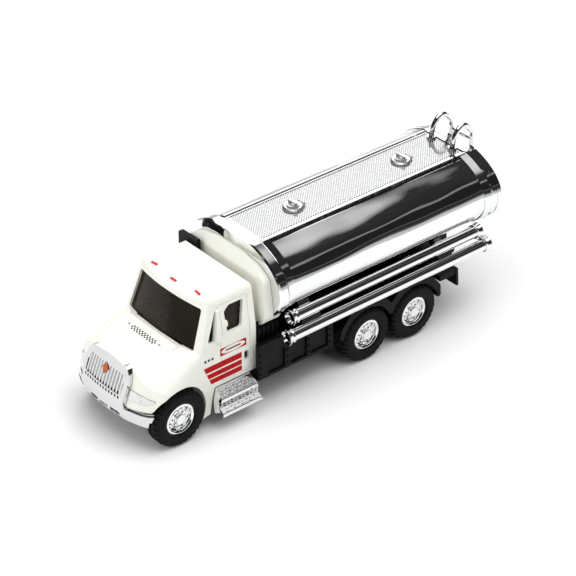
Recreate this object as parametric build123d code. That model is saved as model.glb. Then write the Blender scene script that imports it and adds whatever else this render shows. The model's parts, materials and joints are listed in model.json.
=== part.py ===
"""Toy tanker truck: painted die-cast cab, plated tank, black plastic chassis, three free-rolling wheelsets.

Millimetres. +X is forward, +Y is the truck's left, +Z is up and z = 0 is the floor.
Lengths along the truck are written from the builder's datum and moved by CENTRE_SHIFT on export,
so that x = 0 is the middle of the overall length.
"""
import os
from math import cos, pi, sin, sqrt

from build123d import *

# ---------------------------------------------------------------- driving dimensions
CENTRE_SHIFT = 10.425

TYRE_R = 12.0
AXLE_Z = TYRE_R
RIM_R = 6.7
FRONT_AXLE_X = 64.6
MID_AXLE_X = -26.8
REAR_AXLE_X = -52.4
FRONT_TYRE_Y = (18.3, 25.8)
REAR_TYRE_Y = (20.2, 28.7)
AXLE_R = 1.0
BEARING_CLEARANCE = 0.06

CAB_REAR_X = 26.3
CAB_HALF_W = 23.2
CAB_BELT_Z = 38.0
CAB_ROOF_HALF_W = 20.2
CAB_SIDE_TOP_Z = 54.0
CAB_ROOF_Z = 56.2
CAB_BOTTOM_Z = 17.5
CAB_WALL = 1.3
SCREEN_LEAN = (-6.3, 0, 16.1)
ARCH_R = 13.4
NOSE_SPLIT_Z = 20.0

TANK_Z = 48.8
TANK_A = 28.5
TANK_B = 17.0
TANK_WALL = 1.2
TANK_FRONT_X = 14.4
TANK_REAR_X = -94.6
RING_A = 29.5
RING_B = 17.8
WALKWAY_Z = 64.2
WALKWAY_HALF_W = 12.5

CHASSIS_HALF_W = 10.0
RAIL_SLOT_HALF_W = 10.2
RAIL_TOP_Z = 19.6
SKIRT_Y = 27.0
HOSE_R = 2.6
UPPER_HOSE_YZ = (25.5, 35.3)
LOWER_HOSE_YZ = (28.5, 29.5)


# ---------------------------------------------------------------- shape helpers
def block(x0, x1, y0, y1, z0, z1):
    centre = Pos((x0 + x1) / 2, (y0 + y1) / 2, (z0 + z1) / 2)
    return centre * Box(abs(x1 - x0), abs(y1 - y0), abs(z1 - z0))


def rod_x(x0, x1, y, z, radius):
    return Pos((x0 + x1) / 2, y, z) * Rot(0, 90, 0) * Cylinder(radius, abs(x1 - x0))


def rod_y(y0, y1, x, z, radius):
    return Pos(x, (y0 + y1) / 2, z) * Rot(90, 0, 0) * Cylinder(radius, abs(y1 - y0))


def rod_z(z0, z1, x, y, radius):
    return Pos(x, y, (z0 + z1) / 2) * Cylinder(radius, abs(z1 - z0))


def unit(a, b):
    length = sqrt((b[0] - a[0]) ** 2 + (b[1] - a[1]) ** 2)
    return (b[0] - a[0]) / length, (b[1] - a[1]) / length, length


def rounded_face(corners, place):
    """Face from (a, b, corner radius) tuples; place(a, b) puts a point in space."""
    count = len(corners)
    starts, middles, ends = [], [], []
    for index, corner in enumerate(corners):
        before = corners[index - 1]
        after = corners[(index + 1) % count]
        ax, ay, reach_a = unit(corner, before)
        bx, by, reach_b = unit(corner, after)
        radius = corner[2]
        if radius <= 0:
            starts.append((corner[0], corner[1]))
            middles.append(None)
            ends.append((corner[0], corner[1]))
            continue
        half = sqrt(max(0.0, (1 + ax * bx + ay * by) / 2))
        sine = sqrt(max(1e-9, 1 - half * half))
        cut = min(radius * half / sine, 0.49 * reach_a, 0.49 * reach_b)
        radius = cut * sine / half
        mx, my = (ax + bx), (ay + by)
        size = sqrt(mx * mx + my * my)
        far = radius / sine
        centre = (corner[0] + mx / size * far, corner[1] + my / size * far)
        starts.append((corner[0] + ax * cut, corner[1] + ay * cut))
        ends.append((corner[0] + bx * cut, corner[1] + by * cut))
        middles.append((centre[0] - mx / size * radius, centre[1] - my / size * radius))
    edges = []
    for index in range(count):
        if middles[index] is not None:
            edges.append(Edge.make_three_point_arc(
                place(*starts[index]), place(*middles[index]), place(*ends[index])))
        following = starts[(index + 1) % count]
        gap = sqrt((following[0] - ends[index][0]) ** 2 + (following[1] - ends[index][1]) ** 2)
        if gap > 1e-6:
            edges.append(Edge.make_line(place(*ends[index]), place(*following)))
    return Face(Wire(edges))


def prism_x(corners, x0, x1):
    """(y, z, radius) outline swept along X."""
    face = rounded_face(corners, lambda a, b: (x0, a, b))
    return extrude(face, amount=x1 - x0, dir=(1, 0, 0))


def prism_y(corners, y0, y1):
    """(x, z, radius) outline swept along Y."""
    face = rounded_face(corners, lambda a, b: (a, y0, b))
    return extrude(face, amount=y1 - y0, dir=(0, 1, 0))


def prism_z(corners, z0, z1):
    """(x, y, radius) outline swept along Z."""
    face = rounded_face(corners, lambda a, b: (a, b, z0))
    return extrude(face, amount=z1 - z0, dir=(0, 0, 1))


def other_side(shape):
    return mirror(shape, about=Plane.XZ)


def both_sides(shape):
    return [shape, other_side(shape)]


def joined(shapes):
    total = shapes[0]
    for shape in shapes[1:]:
        total = total + shape
    return total


def minus(shape, cutters):
    for cutter in cutters:
        shape = shape - cutter
    return shape


# ---------------------------------------------------------------- cab
HOOD_SECTIONS = (
    # x, side half width, side top z, then (half width, z) on the way to the crown
    (48.0, 23.2, 30.0, ((21.6, 35.4), (15.0, 37.8), (0.0, 39.0))),
    (58.0, 24.2, 27.5, ((22.2, 34.2), (16.0, 36.5), (0.0, 37.4))),
    (66.0, 25.2, 24.8, ((23.3, 30.2), (16.0, 34.6), (0.0, 35.9))),
    (74.0, 25.0, 22.0, ((22.4, 27.2), (15.4, 32.2), (0.0, 34.1))),
    (84.0, 23.5, 19.5, ((19.8, 24.4), (13.4, 30.4), (0.0, 32.2))),
)
NOSE_PLAN = ((66.0, 26.6), (73.2, 24.9), (77.0, 21.8), (80.0, 16.5), (81.7, 9.0))
NOSE_TIP_X = 82.2
NOSE_LEAN = (-0.38, 0, 1)


def hood_section(x, half_w, side_z, crown, inset, low):
    """Left half of a cross section; the crown runs level over the middle."""
    half_w = half_w - inset
    side_z = side_z - inset
    over = [(x, half_w, side_z)]
    over += [(x, y - inset * 0.9, z - inset) for y, z in crown[:-1]]
    over += [(x, 0, crown[-1][1] - inset)]
    edges = [
        Edge.make_line((x, half_w, low), (x, half_w, side_z)),
        Edge.make_spline([Vector(*point) for point in over], tangents=[(0, 0, 1), (0, -1, 0)]),
        Edge.make_line(over[-1], (x, 0, low)),
        Edge.make_line((x, 0, low), (x, half_w, low)),
    ]
    return Face(Wire(edges))


def nose_limit(inset):
    """Everything behind the bowed, slightly reclined nose surface."""
    left = [(x - inset, y) for x, y in NOSE_PLAN]
    points = [(x, y, NOSE_SPLIT_Z) for x, y in left]
    points += [(NOSE_TIP_X - inset, 0, NOSE_SPLIT_Z)]
    points += [(x, -y, NOSE_SPLIT_Z) for x, y in reversed(left)]
    first, last = points[0], points[-1]
    front = Edge.make_spline([Vector(*point) for point in points])
    back_x = 10.0
    side = 34.0
    edges = [
        front,
        Edge.make_line(last, (last[0], -side, NOSE_SPLIT_Z)),
        Edge.make_line((last[0], -side, NOSE_SPLIT_Z), (back_x, -side, NOSE_SPLIT_Z)),
        Edge.make_line((back_x, -side, NOSE_SPLIT_Z), (back_x, side, NOSE_SPLIT_Z)),
        Edge.make_line((back_x, side, NOSE_SPLIT_Z), (first[0], side, NOSE_SPLIT_Z)),
        Edge.make_line((first[0], side, NOSE_SPLIT_Z), first),
    ]
    face = Face(Wire(edges))
    lean = Vector(*NOSE_LEAN)
    upper = extrude(face, amount=45.0 * lean.length, dir=tuple(lean.normalized()))
    lower = extrude(face, amount=30.0, dir=(0, 0, -1))
    return upper + lower


def hood_body(inset, low=0.0):
    faces = [hood_section(x, w, s, crown, inset, low) for x, w, s, crown in HOOD_SECTIONS]
    half = loft(faces)
    return joined(both_sides(half)) & nose_limit(inset)


def screen_limit(inset):
    """Everything behind the bowed windscreen surface, swept along its lean."""
    base_z = 36.8
    corner = (53.9 - inset, 20.3)
    middle = (57.4 - inset, 0.0)
    back_x = 0.0
    side = 40.0
    wing = (49.2 - inset, side)
    edges = [
        Edge.make_line((back_x, -side, base_z), (wing[0] - 6.0, -side, base_z)),
        Edge.make_line((wing[0] - 6.0, -side, base_z), (corner[0], -corner[1], base_z)),
        Edge.make_three_point_arc(
            (corner[0], -corner[1], base_z), (middle[0], 0, base_z), (corner[0], corner[1], base_z)),
        Edge.make_line((corner[0], corner[1], base_z), (wing[0] - 6.0, side, base_z)),
        Edge.make_line((wing[0] - 6.0, side, base_z), (back_x, side, base_z)),
        Edge.make_line((back_x, side, base_z), (back_x, -side, base_z)),
    ]
    face = Face(Wire(edges))
    lean = Vector(*SCREEN_LEAN)
    upper = extrude(face, amount=30.0, dir=tuple(lean.normalized()))
    lower = extrude(face, amount=40.0, dir=tuple((-lean).normalized()))
    return upper + lower


def cab_box(inset, low=0.0):
    half = CAB_HALF_W - inset
    roof_half = CAB_ROOF_HALF_W - inset
    round_roof = max(0.6, 3.2 - inset)
    section = [
        (half, low, 0), (half, CAB_BELT_Z, 12.0),
        (roof_half + 0.2, CAB_SIDE_TOP_Z + 1.6 - inset, round_roof),
        (0.0, CAB_ROOF_Z - inset, 60.0),
        (-roof_half - 0.2, CAB_SIDE_TOP_Z + 1.6 - inset, round_roof),
        (-half, CAB_BELT_Z, 12.0), (-half, low, 0),
    ]
    body = prism_x(section, CAB_REAR_X + inset, 62.0)
    side = [
        (CAB_REAR_X + inset, low, 0), (CAB_REAR_X + inset, CAB_ROOF_Z - 0.4 - inset, max(0.4, 1.8 - inset)),
        (38.0, CAB_ROOF_Z + 0.4 - inset, 80.0), (50.8 - inset, CAB_SIDE_TOP_Z + 0.6 - inset, 2.0),
        (65.4, 20.0, 0), (65.4, low, 0),
    ]
    body = body & prism_y(side, -30, 30)
    return body & screen_limit(inset)


def cab_lower_limit():
    return prism_y([
        (CAB_REAR_X - 4, 62, 0), (CAB_REAR_X - 4, CAB_BOTTOM_Z, 0), (46.6, CAB_BOTTOM_Z, 1.0),
        (48.0, 13.0, 4.0), (49.0, 6.0, 0.8), (54.0, 5.4, 0),
        (FRONT_AXLE_X, 5.4, 0), (FRONT_AXLE_X, 18.9, 0), (95, 18.9, 0), (95, 62, 0),
    ], -35, 35)


SIDE_WINDOW = ((30.8, 50.5, 0.8), (37.8, 50.6, 1.8), (40.4, 48.6, 1.4), (39.8, 39.5, 1.0), (33.2, 39.5, 1.6))
QUARTER_WINDOW = ((44.3, 50.9, 0.4), (49.6, 38.3, 0.4), (46.4, 38.0, 0.4), (44.0, 49.0, 0.4))
HANDLE_SLOT = ((29.8, 23.6, 0.6), (32.1, 23.6, 0.6), (32.1, 27.7, 0.6), (29.8, 27.7, 0.6))


def screen_opening(margin):
    """Windscreen opening, cut square to the lean of the glass."""
    lean = Vector(*SCREEN_LEAN).normalized()
    normal = Vector(lean.Z, 0, -lean.X)
    base = Vector(57.4, 0, 36.8)
    height = Vector(*SCREEN_LEAN).length

    def place(across, up):
        point = base + lean * up - normal * 7.0
        return point.X, across, point.Z

    low, high = 0.3 + margin, height - 0.2 - margin
    corners = [
        (20.3 - margin, low, 0.9), (18.7 - margin, high, 1.0),
        (-18.7 + margin, high, 1.0), (-20.3 + margin, low, 0.9),
    ]
    face = rounded_face(corners, place)
    return extrude(face, amount=14.0, dir=(normal.X, 0, normal.Z))


def cab_openings(side):
    y0, y1 = (16.0, 30.0) if side > 0 else (-30.0, -16.0)
    return [prism_y(outline, y0, y1) for outline in (SIDE_WINDOW, QUARTER_WINDOW, HANDLE_SLOT)]


def mirror_block():
    outline = [
        (42.1, 50.7, 0.7), (44.0, 50.7, 0.7), (46.2, 38.9, 0.7), (43.7, 37.2, 0.8),
        (43.0, 41.6, 1.0), (40.2, 43.6, 0.8), (40.3, 45.7, 0.8), (42.2, 46.8, 0.7),
    ]
    body = prism_y(outline, 19.6, 25.4)
    lean = prism_x([(19.0, 30, 0), (19.0, 55, 0), (21.4, 55, 0), (23.7, 45, 4.0), (24.6, 36, 0), (24.6, 30, 0)],
                   36, 50)
    return body & lean


def cab_shell():
    body = cab_box(0) + hood_body(0)
    body = body & cab_lower_limit()
    hollow = cab_box(CAB_WALL, -5) + hood_body(CAB_WALL, -5)
    body = body - hollow
    arch = rod_y(13.0, 34.0, FRONT_AXLE_X, AXLE_Z, ARCH_R)
    body = minus(body, both_sides(arch))
    body = body - screen_opening(0)
    for side in (1, -1):
        body = minus(body, cab_openings(side))
    mirrors = minus(mirror_block(), [cab_box(CAB_WALL - 0.3, -5)])
    for piece in both_sides(mirrors):
        body = body + piece
    body = body - grille_pocket(0.12)
    body = body - block(20.0, 29.0, -RAIL_SLOT_HALF_W, RAIL_SLOT_HALF_W, 10.0, RAIL_TOP_Z + 0.15)
    for sign in (1, -1):
        body = body - headlight(sign, 0.12)
    # two internal screw posts that the base plate is held to
    for post_x in POST_XS:
        post = rod_z(14.0, 34.0, post_x, 0, 2.6)
        bridge = block(post_x - 1.2, post_x + 1.2, -CAB_HALF_W + 0.4, CAB_HALF_W - 0.4, 30.0, 33.0)
        keep = cab_box(0.6, -5) + hood_body(0.6, -5)
        body = body + ((post + bridge) & keep)
        body = body - rod_z(10.0, 28.0, post_x, 0, 1.15)
    return body


POST_XS = (57.5,)


def grille_outline(grow):
    return [
        (12.9 + grow, 18.0, 0), (13.3 + grow, 28.6, 1.0), (11.8 + grow, 33.9 + grow, 4.2),
        (0, 35.2 + grow, 20.0), (-11.8 - grow, 33.9 + grow, 4.2), (-13.3 - grow, 28.6, 1.0),
        (-12.9 - grow, 18.0, 0),
    ]


def grille_pocket(grow):
    return prism_x(grille_outline(grow), 75.9, 92.0)


def grille_front(extra):
    """Bowed, reclined limit surface for the plated grille."""
    base_z = 22.7
    tip = 83.2 + extra
    edge = 82.1 + extra
    half = 14.5
    edges = [
        Edge.make_three_point_arc((edge, -half, base_z), (tip, 0, base_z), (edge, half, base_z)),
        Edge.make_line((edge, half, base_z), (70.0, half, base_z)),
        Edge.make_line((70.0, half, base_z), (70.0, -half, base_z)),
        Edge.make_line((70.0, -half, base_z), (edge, -half, base_z)),
    ]
    face = Face(Wire(edges))
    lean = Vector(-3.4, 0, 8.3).normalized()
    upper = extrude(face, amount=16.0, dir=tuple(lean))
    lower = extrude(face, amount=8.0, dir=(0, 0, -1))
    return upper + lower


def headlight(sign, grow):
    """Wedge lamp that wraps from beside the grille to the fender."""
    outline = [
        (13.5, 26.0 + grow, 0.4), (13.8, 22.7 - grow, 0.5), (20.4 + grow, 22.2 - grow, 0.5),
        (23.0 + grow, 22.6, 0.3), (23.0 + grow, 23.5 + grow, 0.3), (18.8, 25.0 + grow, 1.0),
    ]
    body = prism_x([(sign * y, z, r) for y, z, r in outline], 72.4 - grow, 88.0)
    shape = body & nose_limit(-0.45 - grow)
    return shape


BUMPER_PLAN = ((66.0, 25.6), (72.6, 25.1), (76.6, 22.9), (79.4, 17.4), (81.4, 9.4))
BUMPER_TIP_X = 82.2


def bumper_bar(inset, z0, z1):
    left = [(x - inset * 0.9, y - inset * 0.6) for x, y in BUMPER_PLAN]
    points = [(x, y, z0) for x, y in left] + [(BUMPER_TIP_X - inset, 0, z0)]
    points += [(x, -y, z0) for x, y in reversed(left)]
    front = Edge.make_spline([Vector(*point) for point in points])
    edges = [front, Edge.make_line(points[-1], points[0])]
    return extrude(Face(Wire(edges)), amount=z1 - z0, dir=(0, 0, 1))


def front_insert():
    """Plated moulding: grille, its surround, both headlamps and the bumper."""
    grille = prism_x(grille_outline(0), 76.0, 92.0) & grille_front(0)
    field = prism_x([
        (11.0, 23.6, 0.8), (11.3, 28.0, 0.8), (10.0, 31.3, 1.4),
        (-10.0, 31.3, 1.4), (-11.3, 28.0, 0.8), (-11.0, 23.6, 0.8),
    ], 70.0, 92.0)
    recess = field - grille_front(-1.1)
    grille = grille - recess
    bar_count = 13
    pitch = 20.6 / (bar_count - 1)
    for index in range(bar_count):
        y = -10.3 + pitch * index
        bar = block(74.0, 90.0, y - 0.42, y + 0.42, 23.0, 31.6) & grille_front(-0.25)
        grille = grille + (bar & field)
    grille = grille - grille_badge(0.08)
    lower_row = [block(80.4, 90.0, -10.3 + pitch * index - 0.4, -10.3 + pitch * index + 0.4, 21.9, 23.1)
                 for index in range(bar_count)]
    grille = minus(grille, lower_row)
    hollow = block(70.0, 78.4, -10.8, 10.8, 15.0, 31.0)
    grille = grille - hollow
    bumper = bumper_bar(0, 12.2, 18.4)
    lip = bumper_bar(-0.7, 15.2, 17.6)
    bumper = bumper + lip
    behind = bumper_bar(2.2, 8.0, 16.6)
    bumper = bumper - behind
    chamfer_cut = prism_y([(78.6, 10.0, 0), (84.8, 10.0, 0), (84.8, 14.2, 0), (82.4, 13.6, 0)], -40, 40)
    bumper = bumper - (chamfer_cut & block(70, 90, -40, 40, 8, 12.8))
    ends = block(60.0, 75.2, -40, 40, 8, 22)
    bumper = bumper - ends
    slots = [block(81.2, 92.0, y - 2.6, y + 2.6, 13.0, 14.6) for y in (-6.6, 0.0, 6.6)]
    bumper = minus(bumper, slots)
    bridge = block(77.0, 80.6, -12.0, 12.0, 17.2, 21.6)
    body = grille + bumper + bridge
    for sign in (1, -1):
        lamp = headlight(sign, 0)
        lamp = lamp - (nose_limit(2.4) & block(60, 90, -40, 40, 0, 40))
        tie = block(76.4, 79.2, sign * 9.0, sign * 17.0, 18.0, 23.4)
        tie = tie & nose_limit(1.6)
        body = body + lamp + tie
    body = body - arch_clear()
    return body


def arch_clear():
    return joined(both_sides(rod_y(16.0, 34.0, FRONT_AXLE_X, AXLE_Z, TYRE_R + 0.8)))


def grille_badge(grow=0.0):
    """Lozenge set into the grille, its back on the recess floor."""
    face = rounded_face([(0, 2.4 + grow, 0.2), (1.7 + grow, 0, 0.2), (0, -2.4 - grow, 0.2), (-1.7 - grow, 0, 0.2)],
                        lambda across, up: (-1.0, across, up))
    badge = extrude(face, amount=1.25 + 4 * grow, dir=(1, 0, 0))
    return Pos(80.37, 0, 29.6) * Rot(0, -22.3, 0) * badge


def cab_glazing():
    """One tinted moulding that lines the windows from inside."""
    outer = cab_box(CAB_WALL + 0.15, -5)
    inner = cab_box(CAB_WALL + 1.05, -5)
    liner = outer - inner
    liner = liner & block(CAB_REAR_X, 60.0, -30, 30, 36.2, 60.0)
    hood_room = hood_body(CAB_WALL + 0.1, -5)
    outside = block(54.6, 70, -30, 30, 20, 36.9) - hood_room
    liner = liner - outside
    tab = block(29.0, 33.0, 20.85, 21.75, 22.6, 38.0)
    for piece in both_sides(tab):
        liner = liner + piece
    return liner


def interior_tub():
    """Black moulding: floor, bench seat, backrest, bulkhead and dash."""
    floor = block(28.2, 52.0, -20.4, 20.4, 19.8, 21.0)
    bench = prism_y([(30.4, 20.0, 0), (30.4, 27.4, 0.6), (39.6, 28.6, 1.2), (39.6, 20.0, 0)], -19.0, 19.0)
    backs = []
    for centre in (-10.4, 10.4):
        backs.append(prism_y(
            [(30.0, 26.0, 0), (28.3, 43.0, 1.0), (31.0, 44.0, 1.0), (33.6, 27.0, 1.0)],
            centre - 7.4, centre + 7.4))
    dash = prism_y([(47.2, 20.0, 0), (47.2, 33.6, 1.4), (50.6, 35.2, 1.0), (53.4, 35.2, 0.6), (53.4, 20.0, 0)],
                   -19.6, 19.6)
    body = floor + bench + dash + backs[0] + backs[1]
    room = (cab_box(CAB_WALL + 1.2, -5) + hood_body(CAB_WALL + 0.5, -5))
    body = body & room
    column = Pos(46.2, 9.6, 34.2) * Rot(0, -62.0, 0) * Cylinder(0.8, 6.0)
    body = body + column
    post_room = rod_z(10, 40, POST_XS[0], 0, 3.2)
    return body - post_room


def steering_wheel():
    rim = Torus(3.6, 0.45)
    spokes = Box(7.2, 0.8, 0.6) + Box(0.8, 7.2, 0.6)
    boss = Cylinder(1.2, 1.1)
    wheel = rim + spokes + boss - Cylinder(0.85, 4.0)
    return Pos(46.2, 9.6, 34.2) * Rot(0, -62.0, 0) * Pos(0, 0, 2.2) * wheel


def roof_marker_lights():
    proud = 0.45
    skin = cab_box(-proud)
    roof = cab_box(0)
    lights = []
    for x, y, turn in ((46.2, 13.4, -7.0), (47.4, 0.0, 0.0), (46.2, -13.4, 7.0)):
        blank = Pos(x, y, CAB_SIDE_TOP_Z) * Rot(0, 0, turn) * Box(0.8, 3.2, 8.0)
        lights.append((blank & skin) - roof)
    return lights


# ---------------------------------------------------------------- steps
STEP_SECTION = (
    (22.8, 17.2, 0), (24.0, 17.2, 0.5), (28.2, 14.4, 0.5), (27.6, 10.6, 0.3), (30.2, 9.2, 0.5), (30.2, 7.6, 0.4),
    (25.4, 6.2, 0.8), (23.6, 12.0, 0),
)


def step_unit():
    """Plated step moulding under the door: sloped upper tread, riser, lower tread and end plates."""
    span = prism_y([(30.0, 17.6, 0), (46.3, 17.6, 0), (47.6, 13.0, 0), (48.5, 6.0, 0), (29.4, 6.0, 0)], 20, 32)
    body = prism_x(STEP_SECTION, 29.0, 49.0) & span
    plate_section = [(y + (0.5 if y > 25 else 0.0), z, radius) for y, z, radius in STEP_SECTION]
    rear_plate = prism_x(plate_section, 29.4, 30.4) & span
    tab = block(33.0, 46.0, 21.5, 24.0, 14.6, 17.2)
    body = joined([body, rear_plate, tab])
    treads = (
        # (y, z, tilt about the truck's length, rows, pitch across)
        (26.1, 15.8, -33.7, 3, 1.25), (28.9, 9.9, -28.3, 2, 1.25),
    )
    studs = []
    for y, z, tilt, rows, pitch in treads:
        for row in range(rows):
            across = (row - (rows - 1) / 2) * pitch
            for column in range(8):
                x = 31.9 + column * 1.85 + (0.9 if row % 2 else 0.0)
                turn = 35.0 if (row + column) % 2 else -35.0
                stud = Rot(0, 0, turn) * Box(1.15, 0.4, 0.5)
                studs.append(Pos(x, y, z) * Rot(tilt, 0, 0) * Pos(0, across, 0) * stud)
    return joined([body] + studs)


# ---------------------------------------------------------------- headboard and tank
def ellipse_prism(half_w, half_h, x0, x1, centre_z=TANK_Z):
    face = Face(Wire([Edge.make_ellipse(half_w, half_h, plane=Plane((x0, 0, centre_z), x_dir=(0, 1, 0),
                                                                   z_dir=(1, 0, 0)))]))
    return extrude(face, amount=x1 - x0, dir=(1, 0, 0))


def flat_top(height):
    return block(-120, 60, -40, 40, height, height + 40)


def headboard():
    """Cream end fairing that closes the gap between cab and tank."""
    x_front, x_back = 22.6, 15.2
    outline = [
        (25.3, 40.0, 6.0), (23.0, 55.2, 4.0), (16.5, 58.8, 6.0), (0.0, 61.2, 40.0), (-16.5, 58.8, 6.0),
        (-23.0, 55.2, 4.0), (-25.3, 40.0, 6.0), (-23.0, 35.6, 3.0), (0.0, 35.2, 0), (23.0, 35.6, 3.0),
    ]
    body = prism_x(outline, x_back, x_front + 1.6)
    slope = prism_y([
        (x_back, 30.0, 0), (x_front, 30.0, 0), (x_front + 1.2, 36.0, 4.0), (x_front, 55.4, 3.0),
        (x_front - 2.6, 59.6, 2.0), (x_back, 62.6, 0)], -40, 40)
    body = body & slope
    pocket = ellipse_prism(RING_A + 0.15, RING_B + 0.15, x_back - 5, 19.1)
    body = body - pocket
    return body


def tank_outline(half_w, half_h, x0, x1, top):
    return ellipse_prism(half_w, half_h, x0, x1) - flat_top(top)


def tank_shell():
    body = tank_outline(TANK_A, TANK_B, TANK_REAR_X, TANK_FRONT_X, WALKWAY_Z - 0.6)
    hollow = tank_outline(TANK_A - TANK_WALL, TANK_B - TANK_WALL, TANK_REAR_X - 5, TANK_FRONT_X + 5,
                          WALKWAY_Z - 0.6 - TANK_WALL)
    body = body - hollow
    seat_cut = tank_outline(TANK_A + 3, TANK_B + 3, TANK_REAR_X - 2, TANK_REAR_X + 1.6, 99)
    seat_keep = tank_outline(TANK_A - 0.55, TANK_B - 0.55, TANK_REAR_X - 2, TANK_REAR_X + 1.6, WALKWAY_Z - 1.15)
    body = body - (seat_cut - seat_keep)
    return body


def tank_front_ring():
    """Rolled rim and dished front head, as one plated piece."""
    rim = tank_outline(RING_A, RING_B, TANK_FRONT_X, 19.0, WALKWAY_Z + 0.6)
    rim = chamfer_ellipse(rim)
    core = tank_outline(TANK_A - TANK_WALL - 0.08, TANK_B - TANK_WALL - 0.08, TANK_FRONT_X - 3.0, TANK_FRONT_X,
                        WALKWAY_Z - 0.7 - TANK_WALL)
    hollow = tank_outline(TANK_A - 2.6, TANK_B - 2.6, TANK_FRONT_X - 4.0, 17.4, WALKWAY_Z - 3.2)
    return rim + core - hollow + tank_flare(TANK_FRONT_X, -1)


FLARE_LENGTH = 3.6


def tank_flare(x, outward):
    """Cone that eases the barrel out to the rolled rim; it sits on the barrel's skin."""
    thin = 0.35
    tip = x + outward * FLARE_LENGTH
    ends = []
    for place_x, grow_a, grow_b in ((x, RING_A - TANK_A - 0.3, RING_B - TANK_B - 0.2), (tip, thin, thin)):
        plane = Plane((place_x, 0, TANK_Z), x_dir=(0, 1, 0), z_dir=(1, 0, 0))
        ends.append(Face(Wire([Edge.make_ellipse(TANK_A + grow_a, TANK_B + grow_b, plane=plane)])))
    cone = loft(ends)
    cone = cone - ellipse_prism(TANK_A + 0.02, TANK_B + 0.02, min(x, tip) - 1, max(x, tip) + 1)
    return cone - block(min(x, tip) - 1, max(x, tip) + 1, -WALKWAY_HALF_W - 0.4, WALKWAY_HALF_W + 0.4, 60.0, 70.0)


def chamfer_ellipse(body):
    edges = [edge for edge in body.edges() if edge.geom_type == GeomType.ELLIPSE]
    return chamfer(edges, 0.7)


def tank_rear_cap():
    """Domed rear head with its rolled rim, plugged into the shell."""
    rim_x0, rim_x1 = -99.0, TANK_REAR_X + 1.5
    rim = tank_outline(RING_A, RING_B, rim_x0, rim_x1, WALKWAY_Z + 0.6)
    rim = chamfer_ellipse(rim)
    groove = tank_outline(RING_A + 2, RING_B + 2, -96.0, -95.5, 99) - tank_outline(
        RING_A - 0.5, RING_B - 0.5, -96.0, -95.5, WALKWAY_Z + 0.1)
    rim = rim - groove
    socket = tank_outline(TANK_A - 0.45, TANK_B - 0.45, TANK_REAR_X, rim_x1 + 1, WALKWAY_Z - 1.05)
    rim = rim - socket
    dome_r = 96.0
    dome = Pos(-100.0 + dome_r, 0, TANK_Z) * Sphere(dome_r)
    face_cut = tank_outline(TANK_A - 1.6, TANK_B - 1.6, -110.0, -97.6, WALKWAY_Z - 1.2)
    dish = face_cut - dome
    rim = rim - dish
    plug = tank_outline(TANK_A - TANK_WALL - 0.1, TANK_B - TANK_WALL - 0.1, TANK_REAR_X, TANK_REAR_X + 4.0,
                        WALKWAY_Z - 0.75 - TANK_WALL)
    hollow = tank_outline(TANK_A - 2.7, TANK_B - 2.7, -96.6, TANK_REAR_X + 6, WALKWAY_Z - 3.4)
    return rim + plug - hollow + tank_flare(rim_x1, 1)


def walkway_plate():
    """Flat tread plate along the tank's crown: raised edges and a sunk tread strip down the middle."""
    x0, x1 = -93.0, 13.6
    plate = block(x0, x1, -WALKWAY_HALF_W, WALKWAY_HALF_W, WALKWAY_Z - 0.55, WALKWAY_Z)
    rails = [block(x0, x1, s * WALKWAY_HALF_W - s * 0.9, s * WALKWAY_HALF_W, WALKWAY_Z - 0.2, WALKWAY_Z + 0.55)
             for s in (1, -1)]
    borders = [block(x0, x1, s * 10.4, s * 11.0, WALKWAY_Z - 0.2, WALKWAY_Z + 0.15) for s in (1, -1)]
    ends = [block(x, x + 0.9, -10.6, 10.6, WALKWAY_Z - 0.2, WALKWAY_Z + 0.15) for x in (x0, x1 - 0.9)]
    return joined([plate] + rails + borders + ends)


HATCH_XS = (-11.6, -68.7)


def hatch_lid(x):
    lid = rod_z(WALKWAY_Z, WALKWAY_Z + 1.2, x, 0, 4.2)
    lid = chamfer(lid.edges().filter_by(GeomType.CIRCLE).sort_by(Axis.Z)[-1:], 0.5)
    crown = rod_z(WALKWAY_Z + 1.1, WALKWAY_Z + 1.8, x, 0, 2.6)
    handle = block(x - 0.5, x + 0.5, -2.3, 2.3, WALKWAY_Z + 1.7, WALKWAY_Z + 3.0)
    handle = handle - block(x - 1, x + 1, -1.4, 1.4, WALKWAY_Z + 1.6, WALKWAY_Z + 2.3)
    hinge = rod_y(-1.8, 1.8, x - 4.3, WALKWAY_Z + 0.75, 0.7) + block(x - 4.6, x - 3.6, -1.4, 1.4, WALKWAY_Z,
                                                                    WALKWAY_Z + 0.7)
    return lid + crown + handle + hinge


def rear_ladder():
    """Two hooped handrails that rise over the tank's end and run down as stiles, with rungs."""
    bar_r = 1.15
    half_gap = 6.2
    foot_x, stile_x = -91.5, -102.9
    parts = []
    for side in (1, -1):
        y = side * half_gap
        path = [
            Vector(foot_x, y, WALKWAY_Z), Vector(foot_x - 1.0, y, 69.6), Vector(foot_x - 5.9, y, 73.2),
            Vector(stile_x + 1.0, y, 69.6), Vector(stile_x, y, 64.0),
        ]
        hoop = Edge.make_spline(path, tangents=[(0, 0, 1), (0, 0, -1)])
        stile = Edge.make_line((stile_x, y, 64.0), (stile_x, y, 35.0))
        wire = Wire([hoop, stile])
        profile = Face(Wire([Edge.make_circle(bar_r, plane=Plane((foot_x, y, WALKWAY_Z), z_dir=(0, 0, 1)))]))
        parts.append(sweep(profile, path=wire))
        parts.append(rod_z(WALKWAY_Z, WALKWAY_Z + 1.0, foot_x, y, 1.9))
    for z in (37.0, 41.6, 46.2, 50.8, 55.4, 60.0, 64.6):
        parts.append(rod_y(-half_gap, half_gap, stile_x, z, 0.8))
    for z in (39.0, 56.0):
        for side in (1, -1):
            parts.append(rod_x(stile_x, -98.2, side * half_gap, z, 0.9))
    body = joined(parts)
    body = body - rear_keepout()
    return body


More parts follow.
